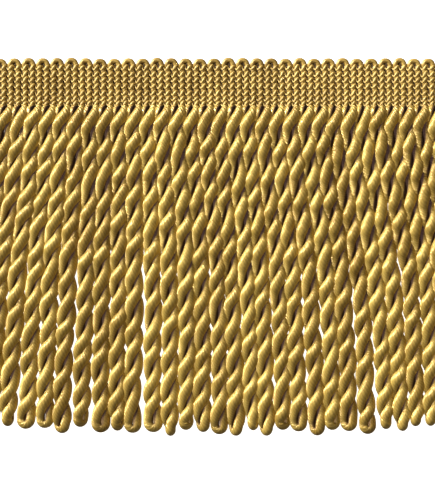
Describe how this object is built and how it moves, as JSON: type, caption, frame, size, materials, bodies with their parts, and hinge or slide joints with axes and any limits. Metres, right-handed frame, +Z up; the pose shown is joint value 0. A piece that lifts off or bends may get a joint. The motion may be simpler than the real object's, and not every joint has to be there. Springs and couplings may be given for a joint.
{
  "type": "cord fringe trim",
  "caption": "Bullion fringe trimming: a crochet-knit heading with a scalloped edge and a row of thick two-ply twisted cords with looped ends.",
  "frame": {"origin": "bottom centre of the bounding box of the whole trim, on the surface that it lies on", "axes": "+X along the trim, to the right in the picture; +Y from the loops towards the scalloped edge; +Z up, out of the face"},
  "size_m": [0.15, 0.1024, 0.0047],
  "materials": {
    "heading_knit": "satin yarn, tightly knit in ribs",
    "cord_satin": "lustrous twisted satin yarn"
  },
  "bodies": {
    "root": {"heading": "heading_knit", "fringe": "cord_satin"}
  },
  "joints": []
}
